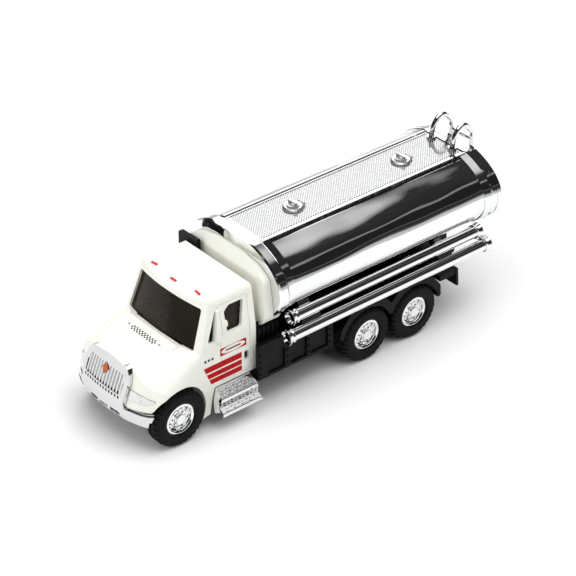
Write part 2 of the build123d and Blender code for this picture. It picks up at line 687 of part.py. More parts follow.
def rear_keepout():
    """Space taken by the rear cap, so the ladder's feet end on its face."""
    dome = tank_outline(RING_A, RING_B, -99.0, -90.0, WALKWAY_Z + 0.6)
    return dome


# ---------------------------------------------------------------- hose tubes
UPPER_HOSE_X = (-89.5, 11.6)
LOWER_HOSE_X = (-92.0, 16.0)


def hose_tube(span, yz):
    y, z = yz
    bell = 3.0
    tube = rod_x(span[0] + bell, span[1] - bell, y, z, HOSE_R)
    tube = tube - rod_x(span[0] + bell + 2.0, span[1] - bell - 2.0, y, z, HOSE_R - 0.9)
    return tube


def hose_cap(x, y, z, outward):
    """Belled end cap; outward is +1 at the front and -1 at the rear."""
    def place(a, b):
        return a, y, z + b

    root = x - outward * 3.0
    profile = [
        (root, 0.0, 0), (root, HOSE_R + 0.55, 0.2), (root + outward * 1.0, HOSE_R + 0.25, 0.3),
        (x, HOSE_R + 0.95, 0.2), (x, HOSE_R + 0.1, 0.1), (x - outward * 1.4, HOSE_R - 0.7, 0),
        (x - outward * 1.4, 0.0, 0),
    ]
    face = rounded_face(profile, place)
    return revolve(face, axis=Axis((0, y, z), (1, 0, 0)), revolution_arc=360)


def hose_end_caps():
    caps = []
    for span, yz in ((UPPER_HOSE_X, UPPER_HOSE_YZ), (LOWER_HOSE_X, LOWER_HOSE_YZ)):
        caps.append(hose_cap(span[1], yz[0], yz[1], 1))
        caps.append(hose_cap(span[0], yz[0], yz[1], -1))
    return caps


BRACKET_SPANS = ((-2.0, 7.5), (-72.0, -64.5))


def hose_bracket(x0, x1):
    """Web that ties both tubes together and hangs them from the tank's underside."""
    uy, uz = UPPER_HOSE_YZ
    ly, lz = LOWER_HOSE_YZ
    web = prism_x([(uy - 1.9, uz - 0.6, 0), (uy + 1.0, uz + 0.8, 0), (ly + 1.0, lz + 1.2, 0),
                   (ly - 1.4, lz - 0.4, 0)], x0, x1)
    hanger = prism_x([(uy - 2.4, uz - 1.6, 0), (uy - 0.4, uz + 1.4, 0), (21.6, 40.0, 0), (18.4, 40.0, 0),
                      (19.6, 37.0, 0)], x0 + 2.0, x1 - 2.0)
    cheek = prism_x([(uy - 3.4, uz - 3.4, 0), (uy + 0.8, uz - 3.2, 0), (uy + 0.8, uz - 1.6, 0),
                     (uy - 2.0, uz + 1.2, 0), (uy - 3.4, uz + 1.2, 0)], x0 + 2.0, x1 - 2.0)
    body = web + hanger + cheek
    body = body - rod_x(-120, 60, uy, uz, HOSE_R)
    body = body - rod_x(-120, 60, ly, lz, HOSE_R)
    body = body - tank_outline(TANK_A, TANK_B, -120, 60, 99)
    return body


# ---------------------------------------------------------------- chassis
def bearing_cut(x):
    return rod_y(-40, 40, x, AXLE_Z, AXLE_R + BEARING_CLEARANCE)


def chassis_frame():
    """Ladder frame with axle bearing blocks, cross members and mounting posts."""
    rails = [block(-92.0, 56.0, s * 5.4, s * CHASSIS_HALF_W, 14.6, 19.6) for s in (1, -1)]
    crosses = [block(x - 1.6, x + 1.6, -CHASSIS_HALF_W, CHASSIS_HALF_W, 14.6, 19.6) for x in (-90.4, -39.6, 0.0, 30.0)]
    floor = block(-14.0, 54.4, -CHASSIS_HALF_W, CHASSIS_HALF_W, 13.4, 15.0)
    nose = block(50.0, 76.0, -12.0, 12.0, 14.0, 17.0)
    bearings = []
    for x in (FRONT_AXLE_X, MID_AXLE_X, REAR_AXLE_X):
        outer = 13.6 if x == FRONT_AXLE_X else 15.8
        for s in (1, -1):
            bearings.append(prism_x([
                (s * 8.0, 9.6, 0), (s * outer, 9.6, 0.8), (s * outer, 16.6, 0.8), (s * 8.0, 16.6, 0)],
                x - 3.4, x + 3.4))
        bearings.append(block(x - 3.4, x + 3.4, -9.0, 9.0, 13.6, 16.6))
    body = joined(rails + crosses + [floor, nose] + bearings)
    for x in (FRONT_AXLE_X, MID_AXLE_X, REAR_AXLE_X):
        body = body - bearing_cut(x)
    for x in POST_XS:
        body = body - rod_z(0, 16.0, x, 0, 1.4)
        body = body - rod_z(13.9, 40.0, x, 0, 2.75)
    body = body - bumper_bar(-0.9, 11.0, 19.0)
    return body


def side_skirt():
    """Ribbed black side panel between cab and bogie, with three recessed bays."""
    outer = SKIRT_Y
    panel = block(-9.6, 28.3, outer - 1.6, outer, 14.0, 30.4)
    bays = [(15.0, 23.5), (3.8, 12.0), (-7.0, 1.8)]
    for x0, x1 in bays:
        panel = panel - block(x0, x1, outer - 0.8, outer + 1, 15.2, 24.4)
    band = block(-10.2, 28.3, outer - 1.0, outer + 0.5, 26.4, 30.4)
    front = block(24.6, 26.1, outer - 12.0, outer, 14.0, 27.8)
    toe = block(26.0, 28.3, outer - 12.0, outer, 14.0, 17.2)
    shelf = block(-9.6, 26.1, outer - 18.0, outer - 1.0, 26.4, 27.8)
    body = panel + band + front + toe + shelf
    for x in (27.2, 13.6, 2.8, -8.2):
        for z in (16.4, 19.4, 22.4, 25.2, 28.4):
            body = body + rod_y(outer - 0.3, outer + 0.45, x, z, 0.45)
    body = body - rod_x(-30.0, LOWER_HOSE_X[1], LOWER_HOSE_YZ[0], LOWER_HOSE_YZ[1], HOSE_R + 0.1)
    body = body - rod_x(LOWER_HOSE_X[1] - 3.2, LOWER_HOSE_X[1] + 0.2, LOWER_HOSE_YZ[0], LOWER_HOSE_YZ[1],
                        HOSE_R + 1.1)
    return body


def tank_cradle():
    """Black saddle that carries the tank, with ribbed side boxes under it."""
    uy, uz = UPPER_HOSE_YZ
    saddle = block(-88.0, 14.0, -9.0, 9.0, 19.7, 33.0)
    saddle = saddle - block(-84.0, 10.0, -7.6, 7.6, 18.0, 31.0)
    boxes = []
    for s in (1, -1):
        lo, hi = sorted((s * 9.0, s * 21.6))
        boxes.append(block(-9.6, 26.1, lo, hi, 27.9, 34.6))
        lo, hi = sorted((s * 7.0, s * 23.4))
        boxes.append(block(15.6, 26.1, lo, hi, 27.9, 41.6))
        for x in (16.4, 18.6, 20.8, 23.0, 25.2):
            lo, hi = sorted((s * 23.2, s * 23.9))
            boxes.append(block(x - 0.5, x + 0.5, lo, hi, 28.4, 41.2))
    body = joined([saddle] + boxes)
    body = body - tank_outline(RING_A + 0.15, RING_B + 0.15, TANK_FRONT_X - FLARE_LENGTH - 0.2, 19.2, 99)
    body = body - tank_outline(TANK_A + 0.1, TANK_B + 0.1, -120, 30.0, 99)
    body = body - headboard_space()
    body = body - block(INTAKE_X[0] - 0.1, 27.0, INTAKE_Y[0] - 0.2, INTAKE_Y[1] + 0.1, 27.8, 60.0)
    return body


def headboard_space():
    return block(15.0, 25.6, -26.0, 26.0, 35.0, 66.0)


def rear_fender():
    """Double-arched mudguard over both rear wheels of one side."""
    y0, y1 = 17.4, 28.4
    top = prism_y([
        (-66.8, 14.2, 0.8), (-66.6, 19.6, 4.0), (-60.6, 26.8, 6.0), (-44.0, 26.8, 6.0), (-39.6, 22.0, 0.8),
        (-35.4, 26.8, 6.0), (-18.6, 26.8, 6.0), (-12.6, 19.6, 4.0), (-12.4, 15.4, 0.8),
        (-14.6, 15.4, 0), (-14.6, 17.0, 0), (-38.5, 17.0, 0), (-64.8, 17.0, 0), (-64.8, 14.2, 0)], y0, y1)
    wheel_room = [rod_y(0, 60, x, AXLE_Z, TYRE_R + 0.9) for x in (MID_AXLE_X, REAR_AXLE_X)]
    body = minus(top, wheel_room)
    inner = block(-66.0, -12.8, 16.4, 17.6, 17.0, 26.0)
    inner = inner + block(-66.0, -12.8, 9.0, 17.0, 22.0, 23.6)
    body = body + (inner & prism_y([(-66, 15, 0), (-66, 20, 0), (-60.6, 26.6, 5), (-18.6, 26.6, 5), (-12.8, 20, 0),
                                    (-12.8, 15, 0)], 0, 60))
    lower_hose = rod_x(-120, 60, LOWER_HOSE_YZ[0], LOWER_HOSE_YZ[1], HOSE_R + 0.05)
    return body - lower_hose


def mudflap():
    flap = prism_y([(-75.4, 22.8, 0), (-76.0, 14.8, 0.4), (-77.2, 14.8, 0.4), (-76.6, 22.8, 0)], 12.0, 28.0)
    bar = block(-77.0, -66.9, 9.0, 27.6, 20.4, 22.8)
    return flap + bar


def base_plate():
    """Flat closing plate under the cab."""
    return prism_z([(30.0, -9.6, 1.0), (55.0, -9.6, 1.0), (55.0, 9.6, 1.0), (30.0, 9.6, 1.0)], 12.0, 13.3)


def chassis_screws():
    screws = []
    for x, head_z in ((POST_XS[0], 12.8),):
        head = rod_z(head_z, head_z + 1.1, x, 0, 2.2)
        shank = rod_z(head_z + 1.0, head_z + 10.0, x, 0, 1.1)
        screws.append(head + shank)
    return screws


INTAKE_X = (24.2, 26.0)
INTAKE_Y = (-24.8, -13.0)


def air_intake_box():
    """Flat black box standing in the gap behind the cab, on the right-hand side."""
    outline = [
        (INTAKE_Y[0], 27.9, 0), (INTAKE_Y[1], 27.9, 0), (INTAKE_Y[1], 57.6, 0.6), (INTAKE_Y[0], 57.2, 1.0),
    ]
    box = prism_x(outline, *INTAKE_X)
    slots = [block(INTAKE_X[1] - 0.5, INTAKE_X[1] + 1, -20.5, -14.5, z, z + 1.0) for z in (44.0, 46.4, 48.8, 51.2)]
    return minus(box, slots)


# ---------------------------------------------------------------- wheels
def wheel_profile(points, x, y_at):
    """Turned section; points are (radius, depth in from the outer face)."""
    def place(a, b):
        return x, y_at(b), AXLE_Z + a

    return rounded_face(points, place)


def tyre(x, span):
    inner, outer = span
    width = outer - inner
    points = [
        (RIM_R, 0.6, 0.3), (RIM_R + 1.4, 0.0, 0.9), (TYRE_R - 0.9, 0.25, 1.3), (TYRE_R, 1.5, 0.5),
        (TYRE_R, width - 1.5, 0.5), (TYRE_R - 0.9, width - 0.25, 1.3), (RIM_R + 1.4, width, 0.9),
        (RIM_R, width - 0.6, 0.3),
    ]
    face = wheel_profile(points, x, lambda depth: outer - depth)
    body = revolve(face, axis=Axis((x, 0, AXLE_Z), (0, 1, 0)), revolution_arc=360)
    centre_groove = rod_y(outer - width / 2 - 0.35, outer - width / 2 + 0.35, x, AXLE_Z, TYRE_R + 1)
    centre_groove = centre_groove - rod_y(0, 60, x, AXLE_Z, TYRE_R - 0.5)
    return body - centre_groove


def hub(x, span):
    """Plated wheel: drop rim, dished disc with hand holes, nut ring and centre cap."""
    inner, outer = span
    width = outer - inner
    rim_out = RIM_R - 0.03
    points = [
        (AXLE_R + 0.9, 1.0, 0.2), (2.3, 1.0, 0.3), (2.4, 1.9, 0.3), (3.6, 2.1, 0.4), (4.5, 3.2, 0.4),
        (5.2, 1.1, 0.4), (5.8, 0.45, 0.3), (rim_out, 0.75, 0.2), (rim_out, width - 0.9, 0.2),
        (5.6, width - 0.7, 0.2), (5.6, 4.6, 0.4), (AXLE_R + 0.9, 4.6, 0),
    ]
    face = wheel_profile(points, x, lambda depth: outer - depth)
    body = revolve(face, axis=Axis((x, 0, AXLE_Z), (0, 1, 0)), revolution_arc=360)
    sleeve = rod_y(inner + 0.6, outer - 1.6, x, AXLE_Z, 2.2)
    cap = rod_y(outer - 1.7, outer - 0.4, x, AXLE_Z, 1.9)
    body = body + sleeve + cap
    body = body - rod_y(inner - 5, outer - 2.2, x, AXLE_Z, AXLE_R)
    hole_count = 8
    for index in range(hole_count):
        angle = 2 * pi * (index + 0.5) / hole_count
        body = body - rod_y(outer - 5.5, outer + 1, x + 4.15 * cos(angle), AXLE_Z + 4.15 * sin(angle), 0.5)
    nut_count = 8
    for index in range(nut_count):
        angle = 2 * pi * index / nut_count
        body = body + rod_y(outer - 2.6, outer - 1.5, x + 2.95 * cos(angle), AXLE_Z + 2.95 * sin(angle), 0.38)
    return body


def axle(x, span):
    return rod_y(-(span[1] - 2.25), span[1] - 2.25, x, AXLE_Z, AXLE_R)


# ---------------------------------------------------------------- export
def save(name, shape):
    pieces = shape if isinstance(shape, list) else [shape]
    moved = [Pos(CENTRE_SHIFT, 0, 0) * piece for piece in pieces]
    export_step(moved[0] if len(moved) == 1 else Compound(children=moved), f"parts/{name}.step")


def save_pair(name, shape):
    save(f"{name}_left", shape)
    save(f"{name}_right", other_side(shape) if not isinstance(shape, list) else [other_side(s) for s in shape])


def main():
    os.makedirs("parts", exist_ok=True)
    save("cab_shell", cab_shell())
    save("front_insert", front_insert())
    save("grille_badge", grille_badge())
    save("cab_glazing", cab_glazing())
    save("interior_tub", interior_tub())
    save("steering_wheel", steering_wheel())
    save("roof_marker_lights", roof_marker_lights())
    save_pair("step", step_unit())
    save("headboard", headboard())
    save("tank_shell", tank_shell())
    save("tank_front_ring", tank_front_ring())
    save("tank_rear_cap", tank_rear_cap())
    save("walkway_plate", walkway_plate())
    save("hatch_lid_front", hatch_lid(HATCH_XS[0]))
    save("hatch_lid_rear", hatch_lid(HATCH_XS[1]))
    save("rear_ladder", rear_ladder())
    save_pair("upper_hose_tube", hose_tube(UPPER_HOSE_X, UPPER_HOSE_YZ))
    save_pair("lower_hose_tube", hose_tube(LOWER_HOSE_X, LOWER_HOSE_YZ))
    save_pair("hose_end_caps", hose_end_caps())
    save_pair("hose_bracket_front", hose_bracket(*BRACKET_SPANS[0]))
    save_pair("hose_bracket_rear", hose_bracket(*BRACKET_SPANS[1]))
    save("chassis_frame", chassis_frame())
    save("tank_cradle", tank_cradle())
    save_pair("side_skirt", side_skirt())
    save_pair("rear_fender", rear_fender())
    save_pair("mudflap", mudflap())
    save("base_plate", base_plate())
    save("chassis_screws", chassis_screws())
    save("air_intake_box", air_intake_box())
    for name, x, span in (("front", FRONT_AXLE_X, FRONT_TYRE_Y), ("mid", MID_AXLE_X, REAR_TYRE_Y),
                          ("rear", REAR_AXLE_X, REAR_TYRE_Y)):
        save(f"{name}_axle", axle(x, span))
        save_pair(f"{name}_tyre", tyre(x, span))
        save_pair(f"{name}_hub", hub(x, span))


main()
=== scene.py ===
"""Looks for the toy tanker truck: camera, floor, light, materials and finer mesh pieces.

Metres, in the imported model's frame: +X forward, +Y to the truck's left, +Z up.
"""
import json
import math

import bmesh
import bpy
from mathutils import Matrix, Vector


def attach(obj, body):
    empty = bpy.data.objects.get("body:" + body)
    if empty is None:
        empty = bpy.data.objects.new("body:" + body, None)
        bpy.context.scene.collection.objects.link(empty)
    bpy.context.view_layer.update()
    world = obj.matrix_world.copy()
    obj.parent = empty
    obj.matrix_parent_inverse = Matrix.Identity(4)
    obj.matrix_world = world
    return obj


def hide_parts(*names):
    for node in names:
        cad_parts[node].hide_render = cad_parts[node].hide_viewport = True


MM = 0.001

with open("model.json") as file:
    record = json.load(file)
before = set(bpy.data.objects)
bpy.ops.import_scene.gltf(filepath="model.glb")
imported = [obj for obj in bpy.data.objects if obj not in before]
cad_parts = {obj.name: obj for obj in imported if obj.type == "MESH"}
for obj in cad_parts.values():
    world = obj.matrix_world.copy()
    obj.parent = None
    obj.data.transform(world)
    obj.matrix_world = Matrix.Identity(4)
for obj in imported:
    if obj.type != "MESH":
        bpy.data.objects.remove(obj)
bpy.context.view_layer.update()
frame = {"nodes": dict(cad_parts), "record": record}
nodes = frame["nodes"]
scene = bpy.context.scene


# ---------------------------------------------------------------- camera
CAMERA_AZIMUTH = math.radians(50.04)
CAMERA_ELEVATION = math.radians(33.15)
CAMERA_PLACE = Vector((450.055, 535.56, 484.07)) * MM
CAMERA_LENS = 130.56
SENSOR_WIDTH = 36.0


def make_camera():
    data = bpy.data.cameras.new("camera")
    data.sensor_width = SENSOR_WIDTH
    data.lens = CAMERA_LENS
    data.clip_start = 0.01
    data.clip_end = 20.0
    camera = bpy.data.objects.new("camera", data)
    scene.collection.objects.link(camera)
    back = Vector((
        math.cos(CAMERA_AZIMUTH) * math.cos(CAMERA_ELEVATION),
        math.sin(CAMERA_AZIMUTH) * math.cos(CAMERA_ELEVATION),
        math.sin(CAMERA_ELEVATION),
    ))
    camera.location = CAMERA_PLACE
    camera.rotation_mode = "QUATERNION"
    camera.rotation_quaternion = (-back).to_track_quat("-Z", "Y")
    scene.camera = camera


# ---------------------------------------------------------------- node helpers
PRINT_EDGE = 0.08 * MM


class Graph:
    """Short calls for building a material's node tree."""

    def __init__(self, name):
        self.material = bpy.data.materials.new(name)
        self.material.use_nodes = True
        self.tree = self.material.node_tree
        self.shader = self.tree.nodes["Principled BSDF"]
        self.place = self.new("ShaderNodeTexCoord").outputs["Object"]
        split = self.new("ShaderNodeSeparateXYZ")
        self.link(self.place, split.inputs[0])
        self.x, self.y, self.z = split.outputs

    def new(self, kind, **values):
        node = self.tree.nodes.new(kind)
        for key, value in values.items():
            setattr(node, key, value)
        return node

    def link(self, source, target):
        self.tree.links.new(source, target)

    def feed(self, target, value):
        if isinstance(value, bpy.types.NodeSocket):
            self.link(value, target)
        else:
            target.default_value = value

    def math(self, operation, first, second=0.0, third=0.0, clamp=False):
        node = self.new("ShaderNodeMath", operation=operation, use_clamp=clamp)
        for socket, value in zip(node.inputs, (first, second, third)):
            self.feed(socket, value)
        return node.outputs[0]

    def mix(self, factor, first, second):
        node = self.new("ShaderNodeMix", data_type="RGBA")
        self.feed(node.inputs[0], factor)
        self.feed(node.inputs[6], first)
        self.feed(node.inputs[7], second)
        return node.outputs[2]

    def noise(self, scale, detail=3.0, roughness=0.5, stretch=None):
        node = self.new("ShaderNodeTexNoise")
        node.inputs["Scale"].default_value = scale
        node.inputs["Detail"].default_value = detail
        node.inputs["Roughness"].default_value = roughness
        place = self.place
        if stretch:
            mapping = self.new("ShaderNodeMapping")
            mapping.inputs["Scale"].default_value = stretch
            self.link(place, mapping.inputs["Vector"])
            place = mapping.outputs[0]
        self.link(place, node.inputs["Vector"])
        return node.outputs[0]

    def span(self, value, low, high, out_low, out_high):
        node = self.new("ShaderNodeMapRange")
        self.feed(node.inputs[0], value)
        for index, number in enumerate((low, high, out_low, out_high), start=1):
            node.inputs[index].default_value = number
        return node.outputs[0]

    def bump(self, height, depth, strength=1.0, base=None):
        node = self.new("ShaderNodeBump")
        node.inputs["Strength"].default_value = strength
        node.inputs["Distance"].default_value = depth
        self.feed(node.inputs["Height"], height)
        if base:
            self.link(base, node.inputs["Normal"])
        return node.outputs[0]

    def inside(self, value, low, high, soft=PRINT_EDGE):
        """1 where low < value < high, with a thin soft edge."""
        middle, half = (low + high) / 2, (high - low) / 2
        away = self.math("ABSOLUTE", self.math("SUBTRACT", value, middle))
        return self.math("DIVIDE", self.math("SUBTRACT", half, away), soft, clamp=True)


def rgb(red, green, blue):
    return (red, green, blue, 1.0)


# ---------------------------------------------------------------- materials
DATUM = 10.425


def along(value):
    """Length along the truck from the maker's datum, in metres of the frame."""
    return (value + DATUM) * MM


def cream_paint(name="cream_paint"):
    """Cream enamel over casting; gives the graph, its colour and its surface bump."""
    g = Graph(name)
    cloud = g.noise(45.0, 2.0)
    cream = g.mix(g.span(cloud, 0.3, 0.7, 0.0, 1.0), rgb(0.87, 0.87, 0.79), rgb(0.89, 0.89, 0.82))
    orange_peel = g.noise(1400.0, 2.0)
    wave = g.noise(120.0, 1.0)
    height = g.math("ADD", g.math("MULTIPLY", orange_peel, 0.25), wave)
    peel = g.bump(height, 0.000012, 0.5)
    g.link(peel, g.shader.inputs["Normal"])
    g.link(cream, g.shader.inputs["Base Color"])
    g.link(g.span(g.noise(300.0), 0.3, 0.7, 0.24, 0.34), g.shader.inputs["Roughness"])
    g.shader.inputs["Specular IOR Level"].default_value = 0.10
    return g, cream, peel


STRIPES = ((25.4, 28.2), (22.4, 24.8), (19.6, 22.0))
STRIPE_REAR_X = 33.3
STRIPE_FRONT = ((51.9, 28.2), (48.3, 19.6))
PLATE_X = (31.0, 43.8)
PLATE_Z = (30.4, 33.9)
LENS_REACH = (5.9, 1.55)
LENS_EDGE = 0.08
LENS_BAR = (3.6, 0.42)
SHORT_BAR_STARTS = (46.9, 48.6, 50.3)
SHORT_BAR_LENGTH = 1.1
SHORT_BAR_Z = (30.5, 31.7)
CAB_SIDE_Y = 20.5


def cab_paint():
    """Cream enamel with the printed marks: stripes, door plate, short bars and bonnet chequers."""
    g, colour, peel = cream_paint("cab_paint")
    red = rgb(0.46, 0.0015, 0.004)
    dark = rgb(0.03, 0.025, 0.02)
    white = rgb(0.86, 0.86, 0.80)
    side = g.math("GREATER_THAN", g.math("ABSOLUTE", g.y), CAB_SIDE_Y * MM)
    (top_x, top_z), (low_x, low_z) = STRIPE_FRONT
    slope = (top_x - low_x) / (top_z - low_z)
    lean = g.math("MULTIPLY", g.math("SUBTRACT", g.z, top_z * MM), slope)
    front_edge = g.math("ADD", lean, along(top_x))
    before = g.math("DIVIDE", g.math("SUBTRACT", front_edge, g.x), PRINT_EDGE, clamp=True)
    behind = g.math("DIVIDE", g.math("SUBTRACT", g.x, along(STRIPE_REAR_X)), PRINT_EDGE, clamp=True)
    stripes = 0.0
    for low, high in STRIPES:
        stripes = g.math("MAXIMUM", stripes, g.inside(g.z, low * MM, high * MM))
    stripes = g.math("MULTIPLY", g.math("MULTIPLY", stripes, before), g.math("MULTIPLY", behind, side))
    colour = g.mix(stripes, colour, red)
    plate = g.math("MULTIPLY", g.inside(g.x, along(PLATE_X[0]), along(PLATE_X[1])),
                   g.inside(g.z, PLATE_Z[0] * MM, PLATE_Z[1] * MM))
    plate = g.math("MULTIPLY", plate, side)
    colour = g.mix(plate, colour, red)
    middle_x = (along(PLATE_X[0]) + along(PLATE_X[1])) / 2
    middle_z = (PLATE_Z[0] + PLATE_Z[1]) / 2 * MM
    u = g.math("DIVIDE", g.math("SUBTRACT", g.x, middle_x), LENS_REACH[0] * MM)
    v = g.math("DIVIDE", g.math("SUBTRACT", g.z, middle_z), LENS_REACH[1] * MM)
    oval = g.math("ADD", g.math("MULTIPLY", u, u), g.math("MULTIPLY", v, v))
    lens = g.math("DIVIDE", g.math("SUBTRACT", 1.0, oval), LENS_EDGE, clamp=True)
    colour = g.mix(g.math("MULTIPLY", lens, plate), colour, white)
    bar_x, bar_z = (reach * MM for reach in LENS_BAR)
    bar = g.math("MULTIPLY", g.inside(g.x, middle_x - bar_x, middle_x + bar_x),
                 g.inside(g.z, middle_z - bar_z, middle_z + bar_z))
    colour = g.mix(g.math("MULTIPLY", bar, plate), colour, rgb(0.20, 0.07, 0.04))
    bars = 0.0
    for start in SHORT_BAR_STARTS:
        end = start + SHORT_BAR_LENGTH
        bars = g.math("MAXIMUM", bars, g.inside(g.x, along(start), along(end)))
    bars = g.math("MULTIPLY", bars, g.inside(g.z, SHORT_BAR_Z[0] * MM, SHORT_BAR_Z[1] * MM))
    colour = g.mix(g.math("MULTIPLY", bars, side), colour, dark)
    colour = g.mix(chequers(g), colour, dark)
    g.link(colour, g.shader.inputs["Base Color"])
    seam = g.bump(door_seam(g, side), SEAM_DEPTH * MM, 1.0, base=peel)
    g.link(seam, g.shader.inputs["Normal"])
    return g.material


DOOR_X = (29.2, 43.2)
DOOR_Z = (18.9, 51.9)
SEAM_HALF = 0.16
SEAM_DEPTH = 0.22


def door_seam(g, side):
    """Height of the cast door outline: a shallow groove round a rectangle on each side."""
    middle_x = (along(DOOR_X[0]) + along(DOOR_X[1])) / 2
    middle_z = (DOOR_Z[0] + DOOR_Z[1]) / 2 * MM
    half_x = (DOOR_X[1] - DOOR_X[0]) / 2 * MM
    half_z = (DOOR_Z[1] - DOOR_Z[0]) / 2 * MM
    away_x = g.math("SUBTRACT", g.math("ABSOLUTE", g.math("SUBTRACT", g.x, middle_x)), half_x)
    away_z = g.math("SUBTRACT", g.math("ABSOLUTE", g.math("SUBTRACT", g.z, middle_z)), half_z)
    edge = g.math("ABSOLUTE", g.math("MAXIMUM", away_x, away_z))
    groove = g.math("SUBTRACT", 1.0, g.math("DIVIDE", edge, SEAM_HALF * MM, clamp=True))
    return g.math("MULTIPLY", g.math("MULTIPLY", groove, side), -1.0)


CHEQUER_X = (61.1, 63.5)
CHEQUER_HALF_Y = 7.6
CHEQUER_CELL = 0.8
BONNET_TOP_Z = 31.0
END_DOT_Y = 9.5
END_DOT_HALF = 0.45
END_DOT_X = (61.6, 62.4)


def chequers(g):
    """Small printed chequer band across the bonnet with a dot beyond each end."""
    on_top = g.math("GREATER_THAN", g.z, BONNET_TOP_Z * MM)
    cell = CHEQUER_CELL * MM
    column = g.math("FLOOR", g.math("DIVIDE", g.math("ADD", g.y, CHEQUER_HALF_Y * MM), cell))
    row = g.math("FLOOR", g.math("DIVIDE", g.math("SUBTRACT", g.x, along(CHEQUER_X[0])), cell))
    parity = g.math("FLOORED_MODULO", g.math("ADD", column, row), 2.0)
    band = g.math("MULTIPLY", g.inside(g.x, along(CHEQUER_X[0]), along(CHEQUER_X[1])),
                  g.inside(g.y, -CHEQUER_HALF_Y * MM, CHEQUER_HALF_Y * MM))
    marks = g.math("MULTIPLY", band, parity)
    for middle in (-END_DOT_Y, END_DOT_Y):
        dot = g.math("MULTIPLY",
                     g.inside(g.y, (middle - END_DOT_HALF) * MM, (middle + END_DOT_HALF) * MM),
                     g.inside(g.x, along(END_DOT_X[0]), along(END_DOT_X[1])))
        marks = g.math("MAXIMUM", marks, dot)
    return g.math("MULTIPLY", marks, on_top)


def plated(name="plated_plastic", wave_depth=0.06, wave_stretch=(1.0, 1.0, 1.0), painted_shade_factor=1.0,
           roughness=(0.03, 0.12)):
    """Vacuum-plated moulding: mirror bright, slightly wavy, with faint rub marks."""
    g = Graph(name)
    tone = g.span(g.noise(60.0), 0.3, 0.7, 0.0, 1.0)
    # A factor below 1 darkens the plating's colour as painted shade.
    dull = rgb(0.86 * painted_shade_factor, 0.87 * painted_shade_factor, 0.88 * painted_shade_factor)
    bright = rgb(0.93 * painted_shade_factor, 0.93 * painted_shade_factor, 0.93 * painted_shade_factor)
    g.link(g.mix(tone, dull, bright), g.shader.inputs["Base Color"])
    rub = g.noise(900.0, 3.0, 0.6, stretch=(0.08, 1.0, 1.0))
    g.link(g.span(rub, 0.45, 0.8, *roughness), g.shader.inputs["Roughness"])
    g.shader.inputs["Metallic"].default_value = 1.0
    wave = g.noise(70.0, 2.0, 0.4, stretch=wave_stretch)
    sink_waves = g.bump(wave, wave_depth * MM, 0.6)
    g.link(g.bump(g.noise(700.0, 2.0), 0.000006, 0.5, base=sink_waves), g.shader.inputs["Normal"])
    return g.material


TREAD_HALF_W = 10.3
TREAD_PITCH = 1.25
TREAD_X = (-91.6, 12.4)
TREAD_Z = 63.8
DASH_WIDTH = 0.7


def plated_tread():
    """The plated finish with fine raised dots and edge dashes on the walkway's strip; the ground
    between the dots is painted darker as painted shade and the dot tops lighter as a painted
    highlight.
    """
    g = Graph("plated_tread")
    turn = 2 * math.pi / (TREAD_PITCH * MM)
    wave_x = g.math("SINE", g.math("MULTIPLY", g.x, turn))
    wave_y = g.math("SINE", g.math("MULTIPLY", g.y, turn))
    dots = g.math("MULTIPLY", g.math("MULTIPLY", wave_x, wave_y), 2.0, clamp=True)
    strip = g.inside(g.y, -TREAD_HALF_W * MM, TREAD_HALF_W * MM)
    strip = g.math("MULTIPLY", strip, g.inside(g.x, along(TREAD_X[0]), along(TREAD_X[1])))
    strip = g.math("MULTIPLY", strip, g.math("GREATER_THAN", g.z, TREAD_Z * MM))
    raised = g.math("MULTIPLY", dots, strip)
    tone = g.span(g.noise(60.0), 0.3, 0.7, 0.0, 1.0)
    plain = g.mix(tone, rgb(0.80, 0.81, 0.82), rgb(0.88, 0.88, 0.89))
    # Painted shade: inside the strip the ground between the dots is darkened to 0.66.
    ground_painted_shade = g.mix(strip, plain, rgb(0.66, 0.67, 0.68))
    edges = g.inside(g.math("ABSOLUTE", g.y), (TREAD_HALF_W - DASH_WIDTH) * MM, TREAD_HALF_W * MM)
    dashes = g.math("MULTIPLY", g.math("MULTIPLY", edges, strip),
                    g.math("GREATER_THAN", wave_x, 0.1))
    # Painted highlight: the raised dot tops are lightened to 0.94.
    colour = g.mix(raised, ground_painted_shade, rgb(0.94, 0.94, 0.94))
    g.link(g.mix(dashes, colour, rgb(0.03, 0.03, 0.03)), g.shader.inputs["Base Color"])
    g.link(g.span(g.noise(500.0), 0.4, 0.7, 0.08, 0.20), g.shader.inputs["Roughness"])
    g.shader.inputs["Metallic"].default_value = 1.0
    base = g.bump(g.noise(70.0, 2.0, 0.4), 0.00004, 0.5)
    g.link(g.bump(raised, 0.00012, 0.8, base=base), g.shader.inputs["Normal"])
    return g.material


def black_plastic():
    """Moulded black plastic with a faint grain."""
    g = Graph("black_plastic")
    grain = g.noise(2600.0, 2.0)
    g.link(g.mix(g.span(g.noise(120.0), 0.35, 0.65, 0.0, 1.0), rgb(0.003, 0.003, 0.0035),
                 rgb(0.006, 0.006, 0.0065)), g.shader.inputs["Base Color"])
    g.link(g.span(g.noise(350.0), 0.3, 0.7, 0.32, 0.46), g.shader.inputs["Roughness"])
    g.shader.inputs["Specular IOR Level"].default_value = 0.10
    g.link(g.bump(grain, 0.00003, 0.5), g.shader.inputs["Normal"])
    return g.material


def tyre_rubber():
    """Matt rubber with a trace of dust."""
    g = Graph("tyre_rubber")
    dust = g.noise(220.0, 4.0, 0.6)
    g.link(g.mix(g.span(dust, 0.4, 0.75, 0.0, 1.0), rgb(0.004, 0.004, 0.004),
                 rgb(0.009, 0.009, 0.0085)), g.shader.inputs["Base Color"])
    g.shader.inputs["Specular IOR Level"].default_value = 0.12
    g.link(g.span(dust, 0.3, 0.7, 0.48, 0.66), g.shader.inputs["Roughness"])
    g.link(g.bump(g.noise(3200.0, 2.0), 0.00004, 0.6), g.shader.inputs["Normal"])
    return g.material


